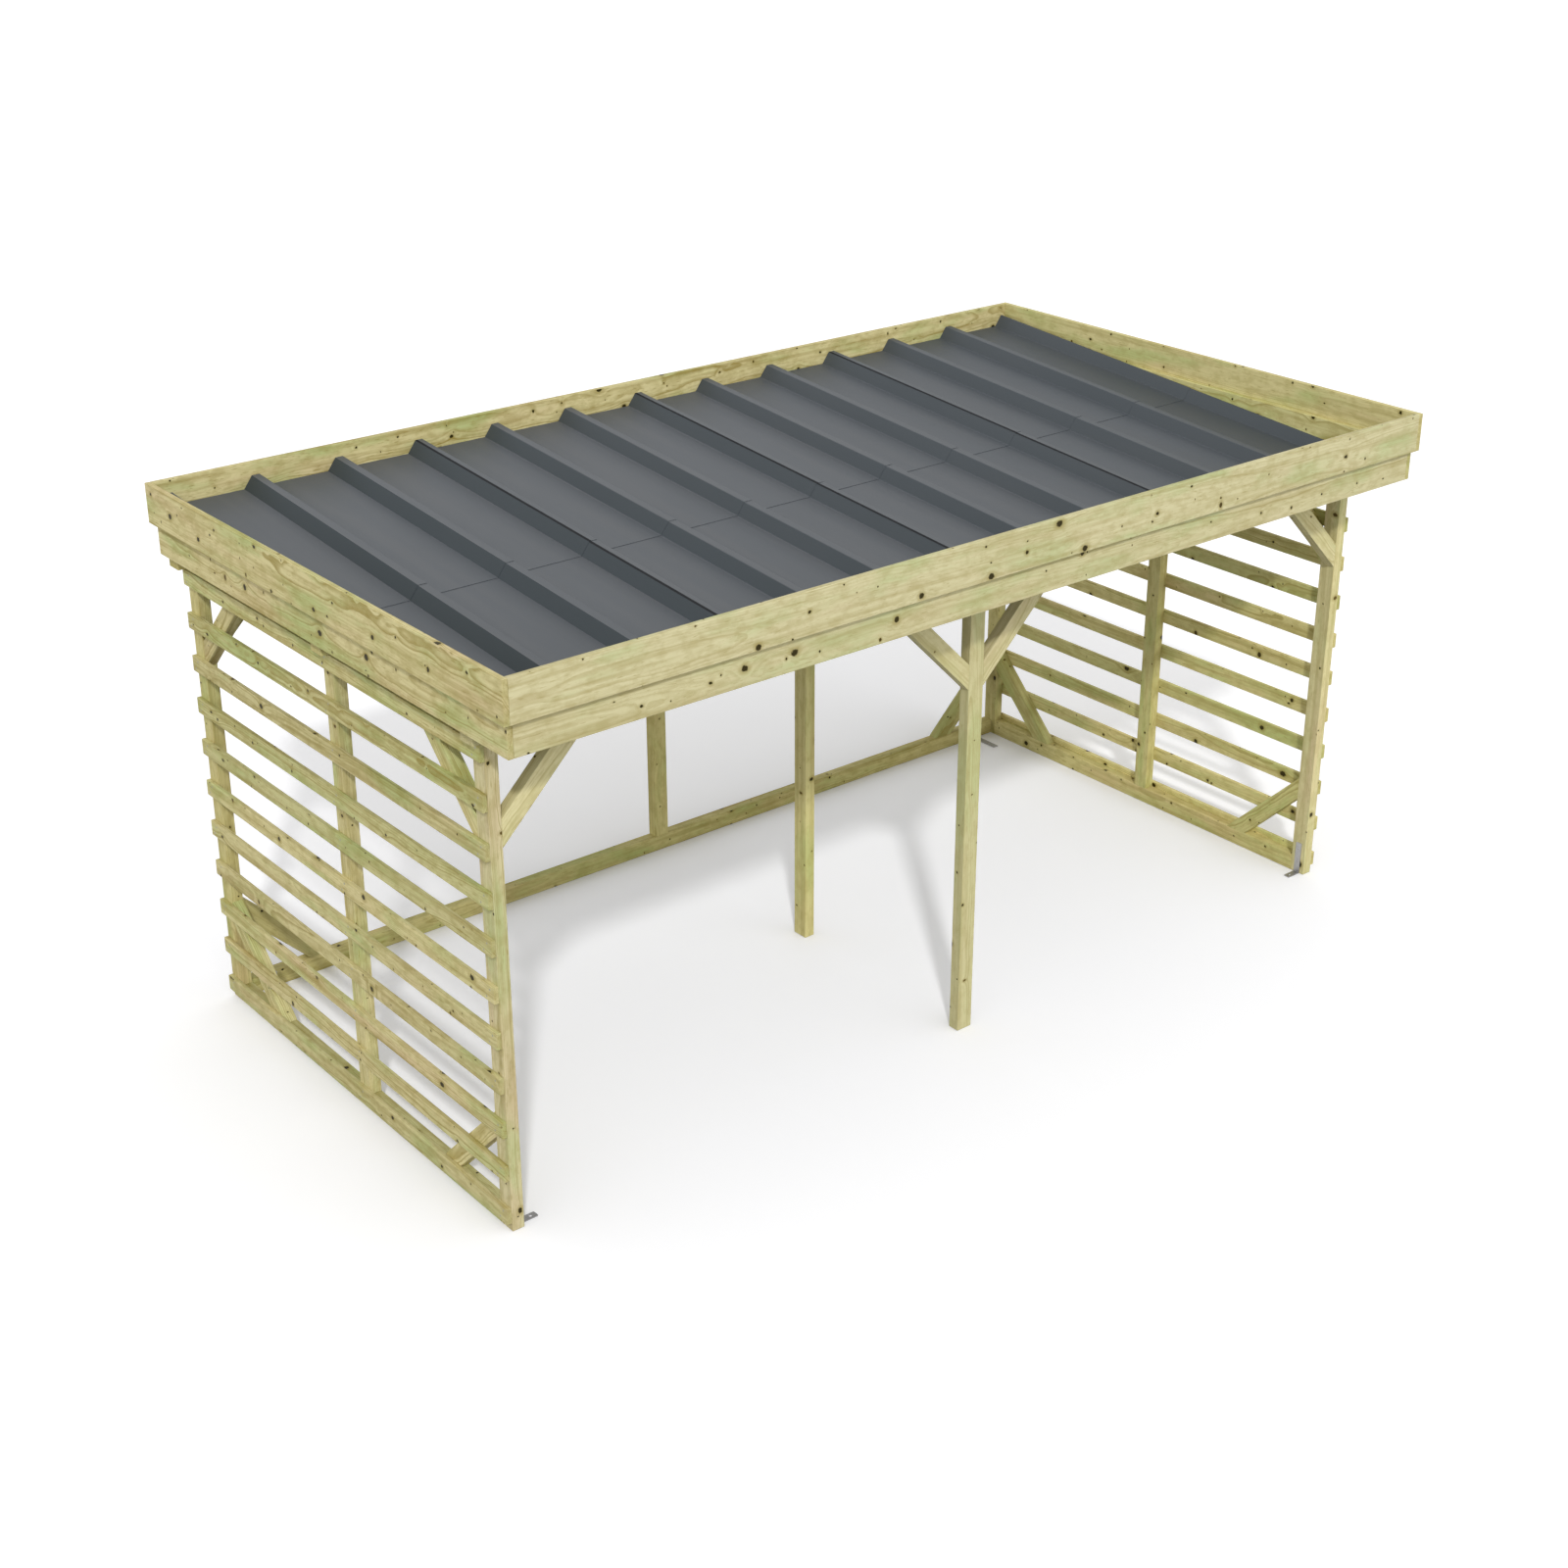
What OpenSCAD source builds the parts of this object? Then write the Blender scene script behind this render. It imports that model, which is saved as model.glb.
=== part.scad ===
// Open-fronted firewood shelter: a post and rail frame with knee braces and slatted ends, and a ribbed
// steel roof that falls to the front behind a double ring of fascia boards.
// Millimetres. +X along the long front, +Y from the open front to the back, +Z up.
// The origin is on the ground under the middle of the roof's outline.

/* [Fascia] */
// length of the roof outline along the front
roof_len = 4100; // [3600:10:4800]
// depth of the roof outline from front to back
roof_depth = 2260; // [2160:10:2500]
// height of the top edge of the upper fascia
total_h = 2016; // [1980:1:2200]
// height of one fascia board
fascia_h = 145; // [135:1:160]
// thickness of one fascia board
fascia_t = 20; // [16:1:24]
// how far the lower fascia board hangs below the upper one
fascia_drop = 113; // [95:1:120]

/* [Posts and rails] */
// narrow face of a frame timber
stud_t = 45; // [38:1:50]
// wide face of a frame timber
stud_w = 67; // [60:1:80]
// how far the roof outline stands out beyond the frame at each end
side_overhang = 79; // [60:1:120]
// how far it stands out in front of the frame
front_overhang = 245; // [200:1:300]
// how far it stands out behind the frame
back_overhang = 91; // [80:1:110]
// how far the plates on the post tops reach below the lower fascia
plate_reveal = 43; // [20:1:60]
// height of the plates on the post tops
plate_h = 55; // [45:1:67]
// distance of the mid studs' and inner post's centre line behind the origin
mid_y = 43; // [20:1:60]

/* [Slats] */
// number of slats on each end wall
slat_count = 11; // [8:1:13]
// face height of a slat
slat_h = 59; // [50:1:66]
// thickness of a slat
slat_t = 17; // [14:1:18]
// height of the lowest slat's lower edge
slat_low = 31; // [10:1:45]

/* [Braces] */
// length of a brace's outer edge along the post or rail it meets
brace_leg = 354; // [300:1:400]

/* [Roof sheets] */
// fall of the roof towards the front, in degrees
roof_slope = 4.5; // [4:0.1:4.7]
// thickness of the roof sheet
sheet_t = 0.7; // [0.6:0.1:1]
// height of a rib
rib_h = 45; // [30:1:48]
// width of a rib's flat top
rib_top = 30; // [20:1:40]
// width of a rib at its foot
rib_base = 97; // [80:1:110]
// distance of the first rib from the left end of the roof outline
first_rib_in = 73; // [60:1:90]
// distance of the last rib from the right end of the roof outline
last_rib_in = 31; // [20:1:50]
// number of rib spaces one sheet covers
ribs_per_sheet = 3; // [2:1:4]
// distance from the front of the roof outline back to the sheets' front edge
drain_gap = 75; // [50:1:110]
// how far the upper row of sheets reaches in front of the middle purlin
row_lap_front = 36; // [20:1:50]
// length by which the upper row covers the lower one
row_lap = 105; // [90:1:150]
// width of the flange beyond a sheet's last rib
lap_flange = 12; // [8:1:16]

/* [Ground brackets] */
// length of a bracket's long leg, upright at the front posts and on the ground behind
bracket_long = 138; // [100:1:150]
// length of a bracket's short leg
bracket_short = 66; // [50:1:67]
// width of a bracket
bracket_w = 28; // [20:1:32]
// distance of the back brackets' centre line from the back posts' inner faces
bracket_in = 98; // [60:1:140]
// thickness of a bracket
bracket_t = 3; // [2:0.5:4]
// diameter of the hole in a bracket's foot
anchor_d = 11; // [8:0.5:12]
// diameter of the screw holes in a bracket's upright leg
screw_d = 5; // [4:0.5:6]

/* [Part] */
// sub-part to build, or all of them

/* [Hidden] */

wood = [0.78, 0.75, 0.55];
steel = [0.42, 0.43, 0.45];
zinc = [0.55, 0.56, 0.58];

// half sizes and the levels derived from them
half_len = roof_len / 2;
half_depth = roof_depth / 2;
half_frame = half_len - side_overhang;
frame_front = half_depth - front_overhang;
frame_back = half_depth - back_overhang;
upper_low = total_h - fascia_h;
lower_low = upper_low - fascia_drop;
inner_half_len = half_len - 2 * fascia_t;
inner_half_depth = half_depth - 2 * fascia_t;
post_h = lower_low - plate_reveal;
plate_top = post_h + plate_h;
mid_front = mid_y - stud_w / 2;
back_plate_front = inner_half_depth - stud_w;
mid_purlin_y = mid_y - stud_t / 2;
row_edge_y = mid_purlin_y - row_lap_front;
slat_pitch = (post_h - slat_h - slat_low) / (slat_count - 1);

// sheets side by side in one row
sheet_count = 4;
rib_pitch = (roof_len - first_rib_in - last_rib_in) / (sheet_count * ribs_per_sheet);
// clearance between a sheet's cut edge and the boards round it
sheet_gap = 2;
// distance of a covering sheet's side edge from the left corner of the rib top it lies on
lap_in = 9;
// run over which a covering sheet comes down to the level of the flats
lap_step = 6;
// level of the upper row of sheets above the lower row
row_lift = 2 * sheet_t;
// length allowed at each end before a sheet is trimmed to size
trim_extra = 60;
// place of the anchor hole along a bracket's foot, as a share of its length
anchor_share = 2 / 3;
// places of the two screw holes along a bracket's upright leg
screw_shares = [0.4, 0.8];
// front face of the front brackets, at the middle of the post
front_bracket_y = -frame_front + (stud_w - bracket_w) / 2;

// the roof's underside rests on the back edge of the front plate
seat_y = -frame_front + stud_w;
seat_z = plate_top;
function roof_z(y, lift) = seat_z + (y - seat_y) * tan(roof_slope) + lift / cos(roof_slope);

// ---------- plain timbers ----------

// upright timber: low corner x, y, sizes along x and y, from one height to another
module upright(x, y, wx, wy, low, high) {
  color(wood)
    translate([x, y, low])
      cube([wx, wy, high - low]);
}

// timber whose top is planed to the fall of the roof, running along X
module planed_beam(y, width, low, half, lift) {
  color(wood)
    translate([-half, 0, 0])
      rotate([90, 0, 90])
        linear_extrude(height = 2 * half)
          polygon([
            [y, low],
            [y + width, low],
            [y + width, roof_z(y + width, lift)],
            [y, roof_z(y, lift)]
          ]);
}

// mitred 45 degree brace in the XY plane, its square corner at the origin, lying in the +X +Y quarter
module brace_outline() {
  inner_leg = brace_leg - stud_w * sqrt(2);
  polygon([[0, inner_leg], [0, brace_leg], [brace_leg, 0], [inner_leg, 0]]);
}

// brace in a wall that runs along X: corner at x, z; sx and sz point into the bay
module brace_along_x(x, z, y, sx, sz) {
  color(wood)
    translate([x, y + stud_t, z])
      rotate([90, 0, 0])
        linear_extrude(height = stud_t)
          mirror([sx < 0 ? 1 : 0, 0])
            mirror([0, sz < 0 ? 1 : 0])
              brace_outline();
}

// brace in a wall that runs along Y: corner at y, z; sy and sz point into the bay
module brace_along_y(x, y, z, sy, sz) {
  color(wood)
    translate([x, y, z])
      rotate([90, 0, 90])
        linear_extrude(height = stud_t)
          mirror([sy < 0 ? 1 : 0, 0])
            mirror([0, sz < 0 ? 1 : 0])
              brace_outline();
}

// ---------- posts and studs ----------

module front_left_post() {
  upright(-half_frame, -frame_front, stud_t, stud_w, 0, post_h);
}

module front_right_post() {
  upright(half_frame - stud_t, -frame_front, stud_t, stud_w, 0, post_h);
}

module front_middle_post() {
  upright(-stud_w / 2, -frame_front, stud_w, stud_t, 0, post_h);
}

module inner_post() {
  upright(-stud_t / 2, mid_front, stud_t, stud_w, 0, post_h);
}

module back_left_post() {
  upright(-half_frame, frame_back - stud_w, stud_t, stud_w, 0, post_h);
}

module back_right_post() {
  upright(half_frame - stud_t, frame_back - stud_w, stud_t, stud_w, 0, post_h);
}

module back_middle_stud() {
  upright(-stud_w / 2, frame_back - stud_t, stud_w, stud_t, stud_w, post_h);
}

module left_middle_stud() {
  upright(-half_frame, mid_front, stud_t, stud_w, stud_w, post_h);
}

module right_middle_stud() {
  upright(half_frame - stud_t, mid_front, stud_t, stud_w, stud_w, post_h);
}

// ---------- rails ----------

// bottom rail of an end wall between its two corner posts
module side_bottom_rail(x) {
  span = frame_front + frame_back - 2 * stud_w;
  upright(x, -frame_front + stud_w, stud_t, span, 0, stud_w);
}

// top rail of an end wall, laid flat over the braces: one length in front of the middle plate, one behind
module side_top_rail(x) {
  for (run = [[-frame_front + stud_w, mid_front], [mid_front + stud_w, back_plate_front]])
    upright(x, run[0], stud_w, run[1] - run[0], post_h, post_h + stud_t);
}

module left_bottom_rail() {
  side_bottom_rail(-half_frame);
}

module right_bottom_rail() {
  side_bottom_rail(half_frame - stud_t);
}

module back_bottom_rail() {
  span = 2 * (half_frame - stud_t);
  upright(-span / 2, frame_back - stud_t, span, stud_t, 0, stud_w);
}

module left_top_rail() {
  side_top_rail(-half_frame);
}

module right_top_rail() {
  side_top_rail(half_frame - stud_w);
}

// ---------- braces ----------

// four braces of an end wall, one in each corner
module side_braces(x) {
  for (level = [[stud_w, 1], [post_h, -1]]) {
    brace_along_y(x, -frame_front + stud_w, level[0], 1, level[1]);
    brace_along_y(x, frame_back - stud_w, level[0], -1, level[1]);
  }
}

module left_braces() {
  side_braces(-half_frame);
}

module right_braces() {
  side_braces(half_frame - stud_t);
}

// four braces of the back wall, one in each corner
module back_braces() {
  corner = half_frame - stud_t;
  for (level = [[stud_w, 1], [post_h, -1]]) {
    brace_along_x(-corner, level[0], frame_back - stud_t, 1, level[1]);
    brace_along_x(corner, level[0], frame_back - stud_t, -1, level[1]);
  }
}

// four braces under the front plate: one at each end post, two at the middle post
module front_braces() {
  corner = half_frame - stud_t;
  brace_along_x(-corner, post_h, -frame_front, 1, -1);
  brace_along_x(-stud_w / 2, post_h, -frame_front, -1, -1);
  brace_along_x(stud_w / 2, post_h, -frame_front, 1, -1);
  brace_along_x(corner, post_h, -frame_front, -1, -1);
}

// ---------- slats ----------

// ladder of level slats on the outside of an end wall
module slats(x) {
  for (i = [0 : slat_count - 1])
    upright(x, -frame_front, slat_t, frame_front + frame_back,
            slat_low + i * slat_pitch, slat_low + i * slat_pitch + slat_h);
}

module left_slats() {
  slats(-half_frame - slat_t);
}

module right_slats() {
  slats(half_frame);
}

// ---------- plates and purlins ----------

module front_plate() {
  planed_beam(-frame_front, stud_w, post_h, inner_half_len, 0);
}

module middle_plate() {
  upright(-inner_half_len, mid_front, 2 * inner_half_len, stud_w, post_h, plate_top);
}

module back_plate() {
  upright(-inner_half_len, back_plate_front, 2 * inner_half_len, stud_w, post_h, plate_top);
}

module middle_purlin() {
  planed_beam(mid_purlin_y, stud_t, plate_top, inner_half_len, 0);
}

module back_purlin() {
  planed_beam(inner_half_depth - stud_t, stud_t, plate_top, inner_half_len, row_lift);
}

// ---------- fascia ----------

// board along X, its outer face at y and its inner face fascia_t further in
module long_board(y, half, low) {
  upright(-half, y, 2 * half, fascia_t, low, low + fascia_h);
}

// board along Y
module short_board(x, half, low) {
  upright(x, -half, fascia_t, 2 * half, low, low + fascia_h);
}

module front_upper_fascia() {
  long_board(-half_depth, half_len - fascia_t, upper_low);
}

module back_upper_fascia() {
  long_board(half_depth - fascia_t, half_len - fascia_t, upper_low);
}

module left_upper_fascia() {
  short_board(-half_len, half_depth, upper_low);
}

module right_upper_fascia() {
  short_board(half_len - fascia_t, half_depth, upper_low);
}

module front_lower_fascia() {
  long_board(-half_depth + fascia_t, inner_half_len, lower_low);
}

module back_lower_fascia() {
  long_board(inner_half_depth, inner_half_len, lower_low);
}

module left_lower_fascia() {
  short_board(-half_len + fascia_t, half_depth - fascia_t, lower_low);
}

module right_lower_fascia() {
  short_board(inner_half_len, half_depth - fascia_t, lower_low);
}

// ---------- ribbed roof sheets ----------

// centre of a rib, counted from the left end
function rib_x(i) = -half_len + first_rib_in + i * rib_pitch;

// cross points of one whole rib at a level, left foot to right foot
function rib_points(i, level) = [
  [rib_x(i) - rib_base / 2, level],
  [rib_x(i) - rib_top / 2, level + rib_h],
  [rib_x(i) + rib_top / 2, level + rib_h],
  [rib_x(i) + rib_base / 2, level]
];

// start of a sheet: a covering sheet starts on top of its neighbour's last rib, one sheet thickness
// up, and comes down to the level of the flats beyond the neighbour's flange
function sheet_start(first) = first == 0
  ? rib_points(0, 0)
  : [
      [rib_x(first) - rib_top / 2 + lap_in, sheet_t + rib_h],
      [rib_x(first) + rib_top / 2, sheet_t + rib_h],
      [rib_x(first) + rib_base / 2, sheet_t],
      [rib_x(first) + rib_base / 2 + lap_flange, sheet_t],
      [rib_x(first) + rib_base / 2 + lap_flange + lap_step, 0]
    ];

// underside of a sheet from its first rib to the flange beyond its last one
function sheet_path(first) = concat(
  sheet_start(first),
  [for (i = [1 : ribs_per_sheet], p = rib_points(first + i, 0)) p],
  [[rib_x(first + ribs_per_sheet) + rib_base / 2 + lap_flange, 0]]
);

// the same line one thickness higher, taken backwards, closes the profile
module sheet_profile(first) {
  under = sheet_path(first);
  last = len(under) - 1;
  polygon(concat(under, [for (i = [0 : last]) under[last - i] + [0, sheet_t]]));
}

// one sheet laid on the slope, trimmed upright at both ends and at the side boards
module roof_sheet(first, y0, y1, lift) {
  slope_len = (y1 - y0) / cos(roof_slope) + 2 * trim_extra;
  half = inner_half_len - sheet_gap;
  color(steel)
    intersection() {
      translate([0, seat_y, seat_z])
        rotate([roof_slope, 0, 0])
          translate([0, (y1 - seat_y) / cos(roof_slope) + trim_extra, lift])
            rotate([90, 0, 0])
              linear_extrude(height = slope_len)
                sheet_profile(first);
      translate([-half, y0, 0])
        cube([2 * half, y1 - y0, 2 * total_h]);
    }
}

// lower row, at the front
module front_sheet(first) {
  roof_sheet(first, -half_depth + drain_gap, row_edge_y + row_lap, 0);
}

// upper row, at the back, lying over the lower one
module back_sheet(first) {
  roof_sheet(first, row_edge_y, half_depth - fascia_t - sheet_gap, row_lift);
}

module front_sheet_1() {
  front_sheet(0);
}

module front_sheet_2() {
  front_sheet(ribs_per_sheet);
}

module front_sheet_3() {
  front_sheet(2 * ribs_per_sheet);
}

module front_sheet_4() {
  front_sheet(3 * ribs_per_sheet);
}

module back_sheet_1() {
  back_sheet(0);
}

module back_sheet_2() {
  back_sheet(ribs_per_sheet);
}

module back_sheet_3() {
  back_sheet(2 * ribs_per_sheet);
}

module back_sheet_4() {
  back_sheet(3 * ribs_per_sheet);
}

// ---------- ground brackets ----------

// steel angle: upright leg against x = 0, foot along +X
module bracket(upright_leg, foot) {
  difference() {
    union() {
      cube([bracket_t, bracket_w, upright_leg]);
      cube([foot, bracket_w, bracket_t]);
    }
    translate([anchor_share * foot, bracket_w / 2, -1])
      cylinder(h = bracket_t + 2, d = anchor_d, $fn = 48);
    for (share = screw_shares)
      translate([-1, bracket_w / 2, share * upright_leg])
        rotate([0, 90, 0])
          cylinder(h = bracket_t + 2, d = screw_d, $fn = 32);
  }
}

// one on each front corner post, and one on the back bottom rail near each end with its foot forwards
module ground_brackets() {
  post_face = -half_frame + stud_t;
  color(zinc)
    for (side = [0, 1])
      mirror([side, 0, 0]) {
        translate([post_face, front_bracket_y, 0])
          bracket(bracket_long, bracket_short);
        translate([post_face + bracket_in - bracket_w / 2, frame_back - stud_t, 0])
          rotate([0, 0, -90])
            bracket(bracket_short, bracket_long);
      }
}

front_left_post();
front_right_post();
front_middle_post();
inner_post();
back_left_post();
back_right_post();
back_middle_stud();
left_middle_stud();
right_middle_stud();
left_bottom_rail();
right_bottom_rail();
back_bottom_rail();
left_top_rail();
right_top_rail();
left_braces();
right_braces();
back_braces();
front_braces();
left_slats();
right_slats();
front_plate();
middle_plate();
back_plate();
middle_purlin();
back_purlin();
front_upper_fascia();
back_upper_fascia();
left_upper_fascia();
right_upper_fascia();
front_lower_fascia();
back_lower_fascia();
left_lower_fascia();
right_lower_fascia();
front_sheet_1();
front_sheet_2();
front_sheet_3();
front_sheet_4();
back_sheet_1();
back_sheet_2();
back_sheet_3();
back_sheet_4();
ground_brackets();
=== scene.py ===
import math
import random

import bmesh
import bpy
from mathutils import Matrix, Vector


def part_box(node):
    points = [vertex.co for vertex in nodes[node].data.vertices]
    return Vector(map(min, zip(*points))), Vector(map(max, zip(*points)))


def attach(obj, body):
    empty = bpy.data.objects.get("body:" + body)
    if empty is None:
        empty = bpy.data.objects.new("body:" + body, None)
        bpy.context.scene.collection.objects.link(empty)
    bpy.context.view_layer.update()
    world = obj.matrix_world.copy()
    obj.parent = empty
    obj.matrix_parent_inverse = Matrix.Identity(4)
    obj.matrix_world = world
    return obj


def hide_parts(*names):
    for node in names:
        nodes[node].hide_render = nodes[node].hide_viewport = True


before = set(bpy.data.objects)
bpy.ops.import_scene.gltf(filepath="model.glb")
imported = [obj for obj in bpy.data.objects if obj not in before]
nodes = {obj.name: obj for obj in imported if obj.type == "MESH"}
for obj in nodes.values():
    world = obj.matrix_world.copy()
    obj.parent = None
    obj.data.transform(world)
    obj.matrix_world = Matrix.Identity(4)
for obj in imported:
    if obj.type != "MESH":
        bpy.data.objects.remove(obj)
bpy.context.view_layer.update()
scene = bpy.context.scene

# ---------------------------------------------------------------- helpers


def new_object(name, bm, material, slot=None):
    """A finished mesh object from bm with one material, soft over its bends and rounded edges."""
    mesh = bpy.data.meshes.new(name)
    bm.to_mesh(mesh)
    bm.free()
    for p in mesh.polygons:
        p.use_smooth = True
    mesh.set_sharp_from_angle(angle=math.radians(50))
    obj = bpy.data.objects.new(name, mesh)
    scene.collection.objects.link(obj)
    mesh.materials.append(material)
    obj.modifiers.new("weighted", "WEIGHTED_NORMAL").keep_sharp = True
    if slot:
        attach(obj, "root")
    return obj


def islands(bm):
    """Lists of vertices, one for each connected solid."""
    left = set(bm.verts)
    out = []
    for first in list(bm.verts):
        if first not in left:
            continue
        left.discard(first)
        todo, found = [first], []
        while todo:
            v = todo.pop()
            found.append(v)
            for e in v.link_edges:
                w = e.other_vert(v)
                if w in left:
                    left.discard(w)
                    todo.append(w)
        out.append(found)
    return out


def node_mesh(name):
    """The solids of a CAD node with clean planar faces."""
    bm = bmesh.new()
    bm.from_mesh(nodes[name].data)
    bmesh.ops.remove_doubles(bm, verts=bm.verts[:], dist=1e-5)
    bmesh.ops.dissolve_limit(bm, angle_limit=math.radians(1), verts=bm.verts[:], edges=bm.edges[:])
    return bm


def solid_boxes(name):
    """Lowest and highest corners of each solid in a CAD node."""
    bm = node_mesh(name)
    out = []
    for group in islands(bm):
        lo = Vector([min(v.co[i] for v in group) for i in range(3)])
        hi = Vector([max(v.co[i] for v in group) for i in range(3)])
        out.append((lo, hi))
    bm.free()
    return sorted(out, key=lambda b: tuple(round(c, 4) for c in b[0]))


class Graph:
    """Short calls for building a node material; each takes numbers or sockets and gives a socket."""

    def __init__(self, name):
        self.mat = bpy.data.materials.new(name)
        self.mat.use_nodes = True
        self.tree = self.mat.node_tree
        self.shader = self.tree.nodes["Principled BSDF"]

    def node(self, kind, **settings):
        n = self.tree.nodes.new(kind)
        for k, v in settings.items():
            setattr(n, k, v)
        return n

    def put(self, value, socket):
        if isinstance(value, bpy.types.NodeSocket):
            self.tree.links.new(value, socket)
        else:
            socket.default_value = value

    def attribute(self, name):
        return self.node("ShaderNodeAttribute", attribute_name=name).outputs["Vector"]

    def math(self, op, a, b=0.0, c=0.0):
        n = self.node("ShaderNodeMath", operation=op)
        for value, socket in zip((a, b, c), n.inputs):
            self.put(value, socket)
        return n.outputs[0]

    def plus(self, a, b):
        return self.math("ADD", a, b)

    def times(self, a, b):
        return self.math("MULTIPLY", a, b)

    def linear(self, a, slope, start):
        return self.math("MULTIPLY_ADD", a, slope, start)

    def vec(self, op, a, b=(0, 0, 0)):
        n = self.node("ShaderNodeVectorMath", operation=op)
        self.put(a, n.inputs[0])
        self.put(b, n.inputs["Scale" if op == "SCALE" else 1])
        return n.outputs["Value" if op == "LENGTH" else "Vector"]

    def xyz(self, v):
        n = self.node("ShaderNodeSeparateXYZ")
        self.put(v, n.inputs[0])
        return n.outputs[0], n.outputs[1], n.outputs[2]

    def join(self, x, y, z):
        n = self.node("ShaderNodeCombineXYZ")
        for value, socket in zip((x, y, z), n.inputs):
            self.put(value, socket)
        return n.outputs[0]

    def stretch(self, x, y, z, sx, sy, sz):
        return self.join(self.times(x, sx), self.times(y, sy), self.times(z, sz))

    def noise(self, v, scale, detail=2.0, rough=0.5):
        n = self.node("ShaderNodeTexNoise")
        self.put(v, n.inputs["Vector"])
        n.inputs["Scale"].default_value = scale
        n.inputs["Detail"].default_value = detail
        n.inputs["Roughness"].default_value = rough
        return n.outputs["Fac"]

    def smooth(self, value, lo, hi, a=0.0, b=1.0):
        n = self.node("ShaderNodeMapRange", interpolation_type="SMOOTHSTEP")
        self.put(value, n.inputs["Value"])
        for k, v in (("From Min", lo), ("From Max", hi), ("To Min", a), ("To Max", b)):
            self.put(v, n.inputs[k])
        return n.outputs[0]

    def mix(self, fac, a, b):
        n = self.node("ShaderNodeMix", data_type="RGBA")
        self.put(fac, n.inputs[0])
        for value, socket in ((a, n.inputs[6]), (b, n.inputs[7])):
            self.put((*value, 1.0) if isinstance(value, tuple) else value, socket)
        return n.outputs[2]

    def bump(self, height, strength, distance):
        n = self.node("ShaderNodeBump")
        n.inputs["Strength"].default_value = strength
        n.inputs["Distance"].default_value = distance
        self.put(height, n.inputs["Height"])
        return n.outputs[0]


# ---------------------------------------------------------------- wood


def knots(g, along, across, cut, figure, wobble, cell, share, small, spread):
    """Knots strewn over a board, at most one in each cell and in this share of the cells, with a radius
    from small to small + spread: how dark a place is, its halo, how far rings bend round it, its age."""
    at = g.join(g.math("DIVIDE", along, cell[0]), g.math("DIVIDE", across, cell[1]), 0.0)
    vor = g.node("ShaderNodeTexVoronoi", voronoi_dimensions="2D", feature="F1")
    g.put(at, vor.inputs["Vector"])
    vor.inputs["Scale"].default_value = 1.0
    off = g.vec("MULTIPLY", g.vec("SUBTRACT", at, vor.outputs["Position"]), (*cell, 0.0))
    ox, oy, _ = g.xyz(off)
    chance, size, age = g.xyz(vor.outputs["Color"])
    # a board of strong figure has more knots, and a cut end has none
    present = g.math("LESS_THAN", chance, g.linear(figure, 0.6 * share, 0.4 * share))
    present = g.times(present, g.math("SUBTRACT", 1.0, cut))
    radius = g.linear(g.math("POWER", size, 1.6), spread, small)
    slim = g.linear(age, 0.75, 0.70)
    dist = g.vec("LENGTH", g.join(g.times(ox, slim), oy, 0.0))
    near = g.math("DIVIDE", g.plus(dist, wobble), radius)
    core = g.times(g.smooth(near, 0.7, 1.08, 1.0, 0.0), present)
    halo = g.times(g.smooth(near, 0.9, 2.4, 1.0, 0.0), present)
    push = g.math("POWER", math.e, g.times(g.math("DIVIDE", dist, radius), -0.35))
    push = g.times(g.times(push, radius), g.times(present, 1.5))
    return core, halo, push, age


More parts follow.
